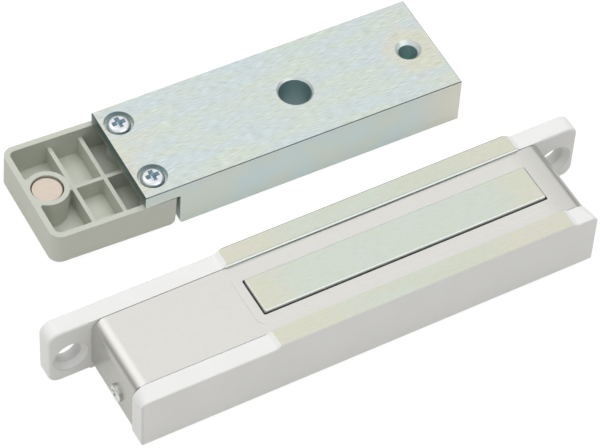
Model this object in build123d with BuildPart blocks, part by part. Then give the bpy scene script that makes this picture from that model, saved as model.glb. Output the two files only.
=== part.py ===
from build123d import *
import os

# Electromagnetic door lock: the magnet unit and its armature, laid side by side on their backs.
# Millimetres. The origin is the middle of the magnet unit's underside. X runs along the unit,
# Y points to its mounting face and Z to its pole faces.

# Magnet housing
housing_length = 162.0
housing_width = 41.9
wall_top = 23.4
wall_thickness = 6.6
floor_thickness = 4.7
floor_end_gap = 0.1
underside_chamfer = 2.9
corner_radius = 0.8
end_radius_outside = 2.4
end_radius_inside = 5.0
end_ease = 0.03
front_edge_radius = 0.5
back_edge_radius = 0.9
ear_length = 14.2
ear_corner_radius = 4.0
ear_edge_radius = 0.9

# Mounting holes through the ears
hole_inset = 6.5
hole_height = 9.9
hole_radius = 4.25
hole_sink_radius = 6.1
ear_web = 5.5
relief_radius = 5.2

# Poles
electronics_bay = 48.0
pole_end_gap = 9.8
pole_rise = 1.1
milling_allowance = 0.8
ramp_run = 1.7
ramp_lip = 0.3
yoke_rise = 3.3
center_pole_width = 13.8
center_pole_setback = 1.5
pole_edge_radius = 0.45

# Coil
bobbin_wall = 0.8
bobbin_flange = 0.9
tape_thickness = 0.25
potting_margin = 0.6
potting_side = 2.15
lead_radius = 0.65
lead_spacing = 4.0
lead_bend_radius = 1.6

# Cover sheet
cover_sheet = 0.8
cover_drop = 0.1
cover_inset = 0.6
cover_bend_radius = 4.6
cover_foot_gap = 0.3
cover_side_gap = 0.25
slot_gap = 0.55
slot_corner_radius = 0.6
plateau_margin = 3.1
plateau_rise = 0.12
plateau_corner_radius = 3.0
waist_depth = 0.5

# Screws
head_dome_share = 0.65
recess_span_share = 1.15
recess_width_share = 0.42
recess_depth_share = 0.6
recess_taper = 24
shank_point_share = 0.3
cover_screw_radius = 1.5
cover_screw_head_radius = 3.0
cover_screw_head_height = 1.2
cover_screw_length = 5.0
cover_screw_y = -3.5
cover_screw_z = 8.7
lug_thickness = 3.6
lug_width = 9.0
lug_rise = 2.9
core_screw_radius = 1.5
core_screw_head_radius = 2.9
core_screw_depth = 6.0
core_screw_count = 3
core_screw_pitch = 38.0
board_screw_radius = 1.1
board_screw_head_radius = 2.1
board_screw_head_height = 1.3
board_screw_length = 4.0
holder_screw_radius = 2.0
holder_screw_head_radius = 4.0
holder_screw_head_height = 2.6
holder_screw_length = 9.0

# Circuit board and what it carries
board_length = 35.0
board_side_gap = 1.85
board_thickness = 1.6
board_lift = 3.4
board_end_gap = 6.0
board_hole_inset = 2.9
post_radius = 2.6
terminal_x = -12.4
terminal_length = 7.6
terminal_height = 10.0
terminal_screw_gap = 0.6
terminal_count = 3
terminal_well_radius = 1.7
terminal_screw_radius = 1.5
terminal_screw_length = 4.0
wire_mouth = 2.6
relay_x = 2.4
relay_y = 4.4
relay_length = 10.0
relay_width = 7.5
relay_height = 9.0
suppressor_y = -5.5
suppressor_radius = 3.5
suppressor_thickness = 3.0
suppressor_lift = 1.0
capacitor_x = 11.0
capacitor_radius = 3.1
capacitor_height = 8.0
sensor_x = -5.7
sensor_width = 4.1
sensor_thickness = 1.6
sensor_height = 3.0
sensor_lift = 8.2
leg_thickness = 0.5
leg_pitch = 1.27
sensor_leg_count = 3

# Cable entry in the mounting face
entry_inset = 19.0
entry_z = 14.9
entry_radius = 4.0
entry_recess_radius = 5.4
entry_recess_depth = 1.4
grommet_bore_radius = 2.6
grommet_lip_radius = 4.9
grommet_lip_thickness = 1.0

# Armature
armature_x = -41.5
armature_y = 53.7
armature_turn = -1.1
bar_length = 115.4
bar_width = 40.15
bar_height = 18.35
bar_edge = 0.25
bar_foot_radius = 1.2
tongue_root_radius = 0.5
tongue_length = 12.35
tongue_thickness = 4.9
center_bore_inset = 51.4
center_bore_radius = 5.5
center_bore_chamfer = 0.65
side_bore_inset = 9.1
side_bore_radius = 3.25
side_bore_chamfer = 1.25
holder_screw_x = 6.1
holder_screw_spacing = 24.8
counterbore_radius = 5.0
counterbore_depth = 2.3

# Magnet holder
holder_length = 43.15
holder_width = 41.15
holder_height = 12.2
holder_wall = 2.0
holder_floor = 1.2
holder_corner_radius = 4.0
holder_foot_radius = 2.0
holder_gap = 1.3
holder_tilt = 2.5
rib_thickness = 1.4
rib_drop = 4.0
rib_pitch = 11.0
rib_count = 2
first_rib_inset = 16.5
boss_inset = 7.2
boss_wall = 1.75
boss_blend_radius = 0.8
magnet_radius = 5.2
magnet_thickness = 5.0
magnet_recess = 0.7
screw_boss_radius = 3.7
bore_depth_spare = 0.4

# Clearances
fit = 0.05
thread_fit = 0.02
running_fit = 0.25

# Places worked out from the sizes above
half_length = housing_length / 2
half_width = housing_width / 2
pocket_half_width = half_width - wall_thickness
hole_x = half_length + hole_inset
pole_top = wall_top + pole_rise
pole_left = electronics_bay - half_length
pole_right = half_length - pole_end_gap
pole_center_x = (pole_left + pole_right) / 2
center_pole_length = pole_right - pole_left - 2 * center_pole_setback
yoke_top = floor_thickness + yoke_rise
cover_top = wall_top - cover_drop
cover_under = cover_top - cover_sheet
cover_half_length = half_length - cover_inset
cover_half_width = pocket_half_width - cover_side_gap
lug_outside = cover_half_length - cover_sheet
floor_half_length = lug_outside - floor_end_gap
board_center_x = board_end_gap + board_length / 2 - half_length
board_height = floor_thickness + board_lift
board_top = board_height + board_thickness
board_width = 2 * (pocket_half_width - board_side_gap)
post_x = board_length / 2 - board_hole_inset
post_y = board_width / 2 - board_hole_inset
terminal_width = 2 * (post_y - board_screw_head_radius - terminal_screw_gap)
terminal_pitch = terminal_width / terminal_count
entry_x = entry_inset - half_length
center_bore_x = bar_length - center_bore_inset
side_bore_x = bar_length - side_bore_inset
tongue_under = bar_height - tongue_thickness
bobbin_foot = yoke_top + fit
bobbin_top = cover_under - running_fit
bobbin_height = bobbin_top - bobbin_foot
bobbin_length = center_pole_length + 2 * fit
bobbin_width = center_pole_width + 2 * fit
winding_height = bobbin_height - 2 * bobbin_flange
tube_length = bobbin_length + 2 * bobbin_wall
tube_width = bobbin_width + 2 * bobbin_wall
winding_thickness = pocket_half_width - tube_width / 2 - tape_thickness - potting_side
tape_length = tube_length + 2 * winding_thickness
tape_width = tube_width + 2 * winding_thickness
potting_length = tape_length + 2 * (tape_thickness + potting_margin)
armature_place = Location((armature_x, armature_y, 0), (0, 0, armature_turn))

os.makedirs("parts", exist_ok=True)


def finish(piece, label):
    """Label a finished piece and write it to its own STEP file."""
    piece.label = label
    export_step(piece, f"parts/{label}.step")


def armature_plane(plane):
    """A plane of the armature's own axes, carried to the armature's place."""
    return Plane(armature_place * plane.location)


def ring(level, inner_length, inner_width, wall, height, corner):
    """Rounded rectangular ring round the centre pole, its foot at the given height."""
    plane = Plane((pole_center_x, 0, level))
    with BuildPart() as body:
        with BuildSketch(plane):
            RectangleRounded(inner_length + 2 * wall, inner_width + 2 * wall, corner + wall)
            RectangleRounded(inner_length, inner_width, corner, mode=Mode.SUBTRACT)
        extrude(amount=height)
    return body.part


def pan_screw(plane, head_radius, head_height, shank_radius, shank_length):
    """Domed screw with a cross recess, its head seated on the plane, its shank running back."""
    recess_span = head_radius * recess_span_share
    recess_width = head_radius * recess_width_share
    with BuildPart() as screw:
        with BuildSketch(plane):
            Circle(head_radius)
        extrude(amount=head_height)
        along = Axis(plane.origin, plane.z_dir)
        fillet(screw.edges().sort_by(along)[-1], head_height * head_dome_share)
        with BuildSketch(plane):
            Circle(shank_radius)
        extrude(amount=-shank_length)
        chamfer(screw.edges().sort_by(along)[0], shank_radius * shank_point_share)
        with BuildSketch(plane.offset(head_height)):
            Rectangle(recess_span, recess_width)
            Rectangle(recess_width, recess_span)
        extrude(amount=-head_height * recess_depth_share, taper=recess_taper, mode=Mode.SUBTRACT)
    return screw.part


def ear(end):
    """Flange for a mounting screw: the back wall carried on past one end, and rounded off."""
    with BuildPart() as flange:
        with BuildSketch(Plane.XZ.offset(-half_width)) as outline:
            with Locations((end * (half_length + ear_length / 2), wall_top / 2)):
                Rectangle(ear_length, wall_top)
            free_corners = outline.vertices().group_by(Axis.X)[-1 if end > 0 else 0]
            fillet(free_corners, ear_corner_radius)
        extrude(amount=wall_thickness)
        front = flange.faces().sort_by(Axis.Y)[0]
        root = front.outer_wire().edges().group_by(Axis.X)[0 if end > 0 else -1]
        fillet([edge for edge in front.outer_wire().edges() if edge not in root], ear_edge_radius)
    return flange.part


def corner_waste(distance, end, radius):
    """Material outside one rounded end of the front wall, on a plane at this Y distance.

    The rounding runs out just past the end and the top, so that it cuts both at an angle.
    """
    center = (end * (half_length - radius + end_ease), wall_top - radius + end_ease)
    with BuildSketch(Plane.XZ.offset(-distance)) as waste:
        with Locations(center):
            inner = Align.MIN if end > 0 else Align.MAX
            Rectangle(radius + wall_thickness, radius + wall_thickness, align=(inner, Align.MIN))
            Circle(radius, mode=Mode.SUBTRACT)
    return waste.sketch


# Housing: one steel casting. Its floor is the yoke, and its two walls are the outer poles.
back_plane = Plane.XZ.offset(-half_width)
ramp_slope = pole_rise / ramp_run
raw_top = pole_top + milling_allowance
raw_lip = ramp_lip - milling_allowance / ramp_slope
foot_left = pole_left - ramp_lip - ramp_run
foot_right = pole_right + ramp_lip + ramp_run
ears = [ear(end) for end in (-1, 1)]
front_waste = {
    end: [
        corner_waste(-half_width, end, end_radius_outside),
        corner_waste(-pocket_half_width, end, end_radius_inside),
    ]
    for end in (-1, 1)
}
with BuildPart() as housing:
    with BuildSketch(back_plane) as side_outline:
        with BuildLine():
            Polyline(
                (-half_length, 0),
                (half_length, 0),
                (half_length, wall_top),
                (foot_right, wall_top),
                (pole_right + raw_lip, raw_top),
                (pole_left - raw_lip, raw_top),
                (foot_left, wall_top),
                (-half_length, wall_top),
                close=True,
            )
        make_face()
        ramp_feet = side_outline.vertices().group_by(Axis.Y)[1].sort_by(Axis.X)[1:3]
        fillet(ramp_feet, ramp_run)
    extrude(amount=housing_width)
    fillet(housing.edges().filter_by(Axis.Z).group_by(Axis.Y)[0], corner_radius)

    # The front wall's ends are rounder towards the cover than on the outside.
    for end in (-1, 1):
        loft(front_waste[end], mode=Mode.SUBTRACT)

    # Ears, then soft edges on the front and the back.
    add(ears)
    back_face = housing.faces().sort_by(Axis.Y)[-1]
    fillet(back_face.outer_wire().edges(), back_edge_radius)
    front_face = housing.faces().sort_by(Axis.Y)[0]
    fillet(
        [edge for edge in front_face.outer_wire().edges() if edge.center().Z > 0],
        front_edge_radius,
    )

    # The raised walls are milled level, which leaves the pole faces bright and sharp.
    with BuildSketch(Plane.XY.offset(pole_top)):
        Rectangle(housing_length, 2 * housing_width)
    extrude(amount=2 * milling_allowance, mode=Mode.SUBTRACT)

    # Pocket for the cover and the works, open at both ends, with the yoke's pad left standing.
    with BuildSketch(Plane.XY.offset(floor_thickness)):
        Rectangle(housing_length, 2 * pocket_half_width)
    extrude(amount=pole_top, mode=Mode.SUBTRACT)
    with BuildSketch(Plane((pole_center_x, 0, floor_thickness))):
        Rectangle(potting_length, 2 * pocket_half_width)
    extrude(amount=yoke_rise)

    # The floor stops short behind the cover's folded ends, and the underside is chamfered.
    for end in (-1, 1):
        inner = Align.MIN if end > 0 else Align.MAX
        with BuildSketch(Plane((end * floor_half_length, 0, 0))):
            Rectangle(wall_thickness, 2 * pocket_half_width, align=(inner, Align.CENTER))
        extrude(amount=floor_thickness, mode=Mode.SUBTRACT)
        with BuildSketch(Plane.XZ.offset(half_width)):
            with BuildLine():
                Polyline(
                    (end * half_length, 0),
                    (end * half_length, underside_chamfer),
                    (end * (half_length - underside_chamfer), 0),
                    close=True,
                )
            make_face()
        extrude(amount=-housing_width + wall_thickness, mode=Mode.SUBTRACT)
    with BuildSketch(Plane.YZ.offset(-half_length)):
        with BuildLine():
            Polyline(
                (-half_width, 0),
                (-half_width, underside_chamfer),
                (underside_chamfer - half_width, 0),
                close=True,
            )
        make_face()
    extrude(amount=housing_length, mode=Mode.SUBTRACT)

    # Lugs behind the cover's folded ends and posts under the circuit board.
    for end in (-1, 1):
        lug_x = end * (lug_outside - lug_thickness / 2)
        with BuildSketch(Plane((lug_x, cover_screw_y, floor_thickness))):
            Rectangle(lug_thickness, lug_width)
        extrude(amount=cover_screw_z + lug_rise - floor_thickness)
    with BuildSketch(Plane((board_center_x, 0, floor_thickness))):
        with GridLocations(2 * post_x, 2 * post_y, 2, 2):
            Circle(post_radius)
    extrude(amount=board_height - floor_thickness)
    with BuildSketch(Plane((board_center_x, 0, board_height))):
        with GridLocations(2 * post_x, 2 * post_y, 2, 2):
            Circle(board_screw_radius + thread_fit)
    extrude(amount=-board_screw_length, mode=Mode.SUBTRACT)

    # Screw holes in the lugs, and countersunk holes in the floor under the core.
    with BuildSketch(Plane.YZ.offset(-half_length)):
        with Locations((cover_screw_y, cover_screw_z)):
            Circle(cover_screw_radius + thread_fit)
    extrude(amount=housing_length, mode=Mode.SUBTRACT)
    with Locations(Plane((pole_center_x, 0, 0), z_dir=(0, 0, -1))):
        with GridLocations(core_screw_pitch, 0, core_screw_count, 1):
            CounterSinkHole(core_screw_radius + thread_fit, core_screw_head_radius, yoke_top)

    # Mounting holes, with the back of each ear relieved down to a web.
    with Locations(Plane.XZ.offset(wall_thickness - half_width)):
        with Locations((-hole_x, hole_height), (hole_x, hole_height)):
            CounterSinkHole(hole_radius, hole_sink_radius, wall_thickness)
    with BuildSketch(back_plane):
        for side in (-1, 1):
            with Locations((side * hole_x, hole_height)):
                Circle(relief_radius)
            with Locations((side * hole_x, 0)):
                Rectangle(2 * relief_radius, 2 * hole_height)
    extrude(amount=wall_thickness - ear_web, mode=Mode.SUBTRACT)

    # Cable entry, recessed on the mounting face for the grommet's flange.
    with BuildSketch(back_plane):
        with Locations((entry_x, entry_z)):
            Circle(entry_radius + fit)
    extrude(amount=wall_thickness, mode=Mode.SUBTRACT)
    with BuildSketch(back_plane):
        with Locations((entry_x, entry_z)):
            Circle(entry_recess_radius + fit)
    extrude(amount=entry_recess_depth, mode=Mode.SUBTRACT)
finish(housing.part, "housing")

# Centre pole: a milled steel block that stands on the yoke's pad, inside the coil.
with BuildPart() as center_pole:
    with BuildSketch(Plane((pole_center_x, 0, yoke_top))):
        Rectangle(center_pole_length, center_pole_width)
    extrude(amount=pole_top - yoke_top)
    fillet(center_pole.edges().filter_by(Axis.Z), pole_edge_radius)
    fillet(center_pole.faces().sort_by(Axis.Z)[-1].edges(), pole_edge_radius)
    with Locations(Plane((pole_center_x, 0, yoke_top), z_dir=(0, 0, -1))):
        with GridLocations(core_screw_pitch, 0, core_screw_count, 1):
            Hole(core_screw_radius + thread_fit, depth=core_screw_depth)
finish(center_pole.part, "center_pole")

# Countersunk screws that hold the centre pole down on the yoke.
head_depth = core_screw_head_radius - core_screw_radius
core_recess_span = core_screw_head_radius * recess_span_share
core_recess_width = core_screw_head_radius * recess_width_share
with BuildPart() as core_screws:
    for index in range(core_screw_count):
        screw_x = pole_center_x + (index - (core_screw_count - 1) / 2) * core_screw_pitch
        with BuildSketch(Plane((screw_x, 0, 0), x_dir=(1, 0, 0), z_dir=(0, -1, 0))):
            with BuildLine():
                Polyline(
                    (0, fit),
                    (core_screw_head_radius - fit, fit),
                    (core_screw_radius, head_depth),
                    (core_screw_radius, yoke_top + core_screw_depth - fit),
                    (0, yoke_top + core_screw_depth - fit),
                    close=True,
                )
            make_face()
        revolve(axis=Axis((screw_x, 0, 0), (0, 0, 1)))
        with BuildSketch(Plane((screw_x, 0, fit))):
            Rectangle(core_recess_span, core_recess_width)
            Rectangle(core_recess_width, core_recess_span)
        extrude(amount=head_depth * recess_depth_share, mode=Mode.SUBTRACT)
finish(core_screws.part, "core_screws")

# Coil: a moulded bobbin slipped over the centre pole, its copper winding and a turn of tape.
bobbin_corner = pole_edge_radius
flange_width = winding_thickness + bobbin_wall
bobbin_pieces = [
    ring(bobbin_foot, bobbin_length, bobbin_width, bobbin_wall, bobbin_height, bobbin_corner),
    ring(bobbin_foot, bobbin_length, bobbin_width, flange_width, bobbin_flange, bobbin_corner),
    ring(
        bobbin_top - bobbin_flange,
        bobbin_length,
        bobbin_width,
        flange_width,
        bobbin_flange,
        bobbin_corner,
    ),
]
with BuildPart() as coil_bobbin:
    add(bobbin_pieces)
finish(coil_bobbin.part, "coil_bobbin")

winding_foot = bobbin_foot + bobbin_flange
winding_corner = bobbin_corner + bobbin_wall
coil_winding = ring(
    winding_foot, tube_length, tube_width, winding_thickness, winding_height, winding_corner
)
finish(coil_winding, "coil_winding")

tape_corner = winding_corner + winding_thickness
coil_tape = ring(winding_foot, tape_length, tape_width, tape_thickness, winding_height, tape_corner)
finish(coil_tape, "coil_tape")

# Potting resin that fills the space between the coil and the walls.
potting_top = bobbin_top - bobbin_flange
with BuildPart() as potting:
    with BuildSketch(Plane((pole_center_x, 0, bobbin_foot))):
        Rectangle(potting_length, 2 * (pocket_half_width - fit))
        RectangleRounded(
            tape_length + 2 * (tape_thickness + fit),
            tape_width + 2 * (tape_thickness + fit),
            tape_corner + tape_thickness + fit,
            mode=Mode.SUBTRACT,
        )
    extrude(amount=potting_top - bobbin_foot)
finish(potting.part, "potting_resin")

# Cover: one folded sheet with a slot for the centre pole in a slightly raised panel.
plateau_length = center_pole_length + 2 * (slot_gap + plateau_margin)
plateau_width = center_pole_width + 2 * (slot_gap + plateau_margin)
cover_foot = underside_chamfer + cover_foot_gap
with BuildPart() as cover:
    cover_side = Plane.XZ.offset(-cover_half_width)
    cover_middle = (cover_foot + cover_top) / 2
    with BuildSketch(cover_side) as cover_outline:
        with Locations((0, cover_middle)):
            Rectangle(2 * cover_half_length, cover_top - cover_foot)
        fillet(cover_outline.vertices().group_by(Axis.Y)[-1], cover_bend_radius)
    extrude(amount=2 * cover_half_width)
    with BuildSketch(Plane((pole_center_x, 0, cover_top))):
        RectangleRounded(plateau_length, plateau_width, plateau_corner_radius)
    extrude(amount=plateau_rise)
    with BuildSketch(cover_side) as cover_inside:
        with Locations((0, cover_middle - cover_sheet)):
            Rectangle(2 * (cover_half_length - cover_sheet), cover_top - cover_foot)
        fillet(cover_inside.vertices().group_by(Axis.Y)[-1], cover_bend_radius - cover_sheet)
    extrude(amount=2 * cover_half_width, mode=Mode.SUBTRACT)
    with BuildSketch(Plane((pole_center_x, 0, cover_under))):
        RectangleRounded(
            plateau_length - 2 * cover_sheet,
            plateau_width - 2 * cover_sheet,
            plateau_corner_radius - cover_sheet,
        )
    extrude(amount=plateau_rise, mode=Mode.SUBTRACT)
    with BuildSketch(Plane((pole_center_x, 0, cover_under))):
        RectangleRounded(
            center_pole_length + 2 * slot_gap, center_pole_width + 2 * slot_gap, slot_corner_radius
        )
    extrude(amount=cover_sheet + plateau_rise, mode=Mode.SUBTRACT)
    for side in (-1, 1):
        edge_y = side * cover_half_width
        with BuildSketch(Plane.XY.offset(cover_under)):
            with BuildLine():
                waist = (pole_center_x, edge_y - side * waist_depth)
                ThreePointArc((pole_left, edge_y), waist, (pole_right, edge_y))
                Line((pole_right, edge_y), (pole_left, edge_y))
            make_face()
        extrude(amount=cover_sheet + plateau_rise, mode=Mode.SUBTRACT)
    with BuildSketch(Plane.YZ.offset(-half_length)):
        with Locations((cover_screw_y, cover_screw_z)):
            Circle(cover_screw_radius + running_fit)
    extrude(amount=housing_length, mode=Mode.SUBTRACT)
finish(cover.part, "cover")

for name, end in (("left", -1), ("right", 1)):
    seat = Plane((end * cover_half_length, cover_screw_y, cover_screw_z), z_dir=(end, 0, 0))
    cover_screw = pan_screw(
        seat,
        cover_screw_head_radius,
        cover_screw_head_height,
        cover_screw_radius,
        min(cover_screw_length, cover_sheet + lug_thickness),
    )
    finish(cover_screw, f"cover_screw_{name}")

# Circuit board on its posts, with the parts soldered to it.
board_face = Plane((board_center_x, 0, board_top))
with BuildPart() as circuit_board:
    with BuildSketch(Plane((board_center_x, 0, board_height))):
        Rectangle(board_length, board_width)
        with GridLocations(2 * post_x, 2 * post_y, 2, 2):
            Circle(board_screw_radius + running_fit, mode=Mode.SUBTRACT)
    extrude(amount=board_thickness)
finish(circuit_board.part, "circuit_board")

board_screw = pan_screw(
    board_face,
    board_screw_head_radius,
    board_screw_head_height,
    board_screw_radius,
    board_thickness + board_screw_length - fit,
)
with BuildPart() as board_screws:
    with GridLocations(2 * post_x, 2 * post_y, 2, 2):
        add(board_screw)
finish(board_screws.part, "board_screws")

# Terminal block for the supply cable, with a well and a clamp screw for each wire.
terminal_plane = Plane((board_center_x + terminal_x, 0, board_top))
mouth_plane = Plane.YZ.offset(board_center_x + terminal_x - terminal_length / 2)
with BuildPart() as terminal_block:
    with BuildSketch(terminal_plane):
        Rectangle(terminal_length, terminal_width)
    extrude(amount=terminal_height)
    chamfer(terminal_block.faces().sort_by(Axis.Z)[-1].edges(), bar_edge)
    with BuildSketch(terminal_plane.offset(terminal_height)):
        with GridLocations(0, terminal_pitch, 1, terminal_count):
            Circle(terminal_well_radius)
    extrude(amount=-terminal_screw_length - thread_fit, mode=Mode.SUBTRACT)
    with BuildSketch(mouth_plane):
        with Locations((0, board_top + terminal_height / 3)):
            with GridLocations(terminal_pitch, 0, terminal_count, 1):
                Rectangle(wire_mouth, wire_mouth)
    extrude(amount=terminal_length / 2, mode=Mode.SUBTRACT)
finish(terminal_block.part, "terminal_block")

screw_foot = terminal_height - terminal_screw_length
with BuildPart() as terminal_screws:
    with BuildSketch(terminal_plane.offset(screw_foot)):
        with GridLocations(0, terminal_pitch, 1, terminal_count):
            Circle(terminal_screw_radius)
    extrude(amount=terminal_screw_length - wire_mouth / 2)
    with BuildSketch(terminal_plane.offset(terminal_height - wire_mouth / 2)):
        with GridLocations(0, terminal_pitch, 1, terminal_count):
            Rectangle(2 * terminal_screw_radius, leg_thickness)
    extrude(amount=-terminal_screw_length / 4, mode=Mode.SUBTRACT)
finish(terminal_screws.part, "terminal_screws")

# Relay for the door-closed signal.
with BuildPart() as relay:
    with BuildSketch(Plane((board_center_x + relay_x, relay_y, board_top))):
        Rectangle(relay_length, relay_width)
    extrude(amount=relay_height)
    fillet(relay.edges().filter_by(Axis.Z), leg_thickness)
    chamfer(relay.faces().sort_by(Axis.Z)[-1].edges(), leg_thickness / 2)
finish(relay.part, "relay")

# Disc that absorbs the coil's switching surge, standing on its two legs.
disc_center_z = board_top + suppressor_lift + suppressor_radius
disc_plane = Plane.XZ.offset(-suppressor_y)
with BuildPart() as surge_suppressor:
    with BuildSketch(disc_plane):
        with Locations((board_center_x + relay_x, disc_center_z)):
            Circle(suppressor_radius)
    extrude(amount=suppressor_thickness / 2, both=True)
    fillet(surge_suppressor.edges().filter_by(GeomType.CIRCLE), suppressor_thickness / 3)
    with BuildSketch(Plane((board_center_x + relay_x, suppressor_y, board_top))):
        with GridLocations(suppressor_radius, 0, 2, 1):
            Circle(leg_thickness / 2)
    extrude(amount=suppressor_lift + suppressor_radius)
finish(surge_suppressor.part, "surge_suppressor")

# Smoothing capacitor: a can with a rolled groove near its foot.
can_x = board_center_x + capacitor_x
with BuildPart() as capacitor:
    with BuildSketch(Plane((can_x, 0, board_top))):
        Circle(capacitor_radius)
    extrude(amount=capacitor_height)
    fillet(capacitor.edges().sort_by(Axis.Z)[-1], leg_thickness)
    with BuildSketch(Plane((can_x, 0, board_top + capacitor_height / 6))):
        Circle(capacitor_radius)
        Circle(capacitor_radius - leg_thickness / 2, mode=Mode.SUBTRACT)
    extrude(amount=leg_thickness, mode=Mode.SUBTRACT)
finish(capacitor.part, "capacitor")

# Field sensor on tall legs, close under the cover where the armature's magnet comes to lie.
sensor_plane = Plane((board_center_x + sensor_x, 0, board_top))
with BuildPart() as field_sensor:
    with BuildSketch(sensor_plane.offset(sensor_lift)):
        Rectangle(sensor_thickness, sensor_width)
    extrude(amount=sensor_height)
    chamfer(field_sensor.faces().sort_by(Axis.X)[-1].edges().filter_by(Axis.Z), leg_thickness)
    with BuildSketch(sensor_plane):
        with GridLocations(0, leg_pitch, 1, sensor_leg_count):
            Rectangle(leg_thickness, leg_thickness)
    extrude(amount=sensor_lift)
finish(field_sensor.part, "field_sensor")

# Two wires from the coil's end down to the board.
potting_left = pole_center_x - potting_length / 2
lead_foot_x = board_center_x + board_length / 2 - 2 * lead_radius
lead_z = (winding_foot + potting_top) / 2
with BuildPart() as coil_leads:
    for side in (-1, 1):
        lead_y = side * lead_spacing / 2
        with BuildLine():
            FilletPolyline(
                (potting_left, lead_y, lead_z),
                (lead_foot_x, lead_y, lead_z),
                (lead_foot_x, lead_y, board_top),
                radius=lead_bend_radius,
            )
        with BuildSketch(Plane((potting_left, lead_y, lead_z), z_dir=(-1, 0, 0))):
            Circle(lead_radius)
        sweep()
finish(coil_leads.part, "coil_leads")

# Grommet: a flange in the recess, a neck through the wall and a lip inside.
grommet_profile = [
    (grommet_bore_radius, half_width - fit),
    (entry_recess_radius - fit, half_width - fit),
    (entry_recess_radius - fit, half_width - entry_recess_depth),
    (entry_radius, half_width - entry_recess_depth),
    (entry_radius, pocket_half_width),
    (grommet_lip_radius, pocket_half_width),
    (grommet_lip_radius, pocket_half_width - grommet_lip_thickness),
    (grommet_bore_radius, pocket_half_width - grommet_lip_thickness),
]
with BuildPart() as cable_grommet:
    with BuildSketch(Plane((entry_x, 0, entry_z))):
        with BuildLine():
            Polyline(*grommet_profile, close=True)
        make_face()
    revolve(axis=Axis((entry_x, 0, entry_z), (0, 1, 0)))
finish(cable_grommet.part, "cable_grommet")

# Armature: a steel bar with a thin tongue at one end for the magnet holder.
bar_side = armature_plane(Plane.XZ)
bar_top = armature_plane(Plane.XY.offset(bar_height))
with BuildPart() as armature_bar:
    with BuildSketch(bar_side) as bar_outline:
        with BuildLine():
            Polyline(
                (0, tongue_under),
                (0, bar_height),
                (bar_length, bar_height),
                (bar_length, 0),
                (tongue_length, 0),
                (tongue_length, tongue_under),
                close=True,
            )
        make_face()
        for height, radius in ((0, bar_foot_radius), (tongue_under, tongue_root_radius)):
            corners = bar_outline.vertices().sort_by_distance((tongue_length, height, 0))
            fillet(corners[0], radius)
    extrude(amount=-bar_width)
    chamfer(armature_bar.faces().sort_by(Axis.Z)[-1].edges(), bar_edge)
    with Locations(bar_top):
        with Locations((center_bore_x, bar_width / 2)):
            CounterSinkHole(center_bore_radius, center_bore_radius + center_bore_chamfer, bar_height)
        with Locations((side_bore_x, bar_width / 2)):
            CounterSinkHole(side_bore_radius, side_bore_radius + side_bore_chamfer, bar_height)
        with Locations((holder_screw_x, bar_width / 2)):
            with GridLocations(0, holder_screw_spacing, 1, 2):
                CounterBoreHole(
                    holder_screw_radius + running_fit,
                    counterbore_radius,
                    counterbore_depth,
                    tongue_thickness,
                )
finish(armature_bar.part, "armature_bar")

# Magnet holder: a moulded tray under the tongue, hung so that its free end stands a little proud.
rim_plane = armature_plane(Plane(Location((0, 0, tongue_under), (0, holder_tilt, 0))))
holder_right = tongue_length - holder_gap
holder_left = holder_right - holder_length
holder_center = (holder_left + holder_right) / 2
holder_middle = holder_width / 2
tray_depth = holder_height - holder_floor
rib_height = tray_depth - rib_drop
boss_x = holder_left + boss_inset
boss_radius = magnet_radius + running_fit + boss_wall
boss_chord = (boss_radius**2 - (boss_inset - holder_wall) ** 2) ** 0.5
with BuildPart() as magnet_holder:
    with BuildSketch(rim_plane):
        with Locations((holder_center, holder_middle)):
            Rectangle(holder_length, holder_width)
    extrude(amount=-holder_height)
    upright = magnet_holder.edges().filter_by(Axis((0, 0, 0), rim_plane.z_dir))
    fillet(upright.sort_by(Axis(rim_plane.origin, rim_plane.x_dir))[:2], holder_corner_radius)
    tray_foot = magnet_holder.faces().sort_by(Axis(rim_plane.origin, rim_plane.z_dir))[0]
    foot_edge = tray_foot.edges().sort_by(Axis(rim_plane.origin, rim_plane.x_dir))[-1]
    fillet(foot_edge, holder_foot_radius)
    with BuildSketch(rim_plane):
        with Locations((holder_center, holder_middle)):
            RectangleRounded(
                holder_length - 2 * holder_wall,
                holder_width - 2 * holder_wall,
                holder_corner_radius - holder_wall,
            )
    extrude(amount=-tray_depth, mode=Mode.SUBTRACT)

    # Ribs across and along, the boss for the magnet and the bosses for the screws.
    with BuildSketch(rim_plane.offset(-tray_depth)):
        for index in range(rib_count):
            with Locations((holder_left + first_rib_inset + index * rib_pitch, holder_middle)):
                Rectangle(rib_thickness, holder_width - holder_wall)
        with Locations(((boss_x + holder_right) / 2, holder_middle)):
            Rectangle(holder_right - boss_x - holder_wall, rib_thickness)
    extrude(amount=rib_height)
    with BuildSketch(rim_plane.offset(-tray_depth)):
        with Locations((boss_x, holder_middle)):
            Circle(boss_radius)
        with Locations((holder_screw_x, bar_width / 2)):
            with GridLocations(0, holder_screw_spacing, 1, 2):
                Circle(screw_boss_radius)
    extrude(amount=tray_depth)
    for side in (-1, 1):
        joint_y = holder_middle + side * boss_chord
        joint = rim_plane.location * Pos(holder_left + holder_wall, joint_y, -tray_depth / 2)
        fillet(magnet_holder.edges().sort_by_distance(joint.position)[0], boss_blend_radius)
    with BuildSketch(rim_plane):
        with Locations((boss_x, holder_middle)):
            Circle(magnet_radius + running_fit)
    extrude(amount=-magnet_recess - magnet_thickness, mode=Mode.SUBTRACT)
    with BuildSketch(bar_top.offset(-counterbore_depth)):
        with Locations((holder_screw_x, bar_width / 2)):
            with GridLocations(0, holder_screw_spacing, 1, 2):
                Circle(holder_screw_radius + thread_fit)
    extrude(amount=-holder_screw_length - bore_depth_spare, mode=Mode.SUBTRACT)
finish(magnet_holder.part, "magnet_holder")

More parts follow.
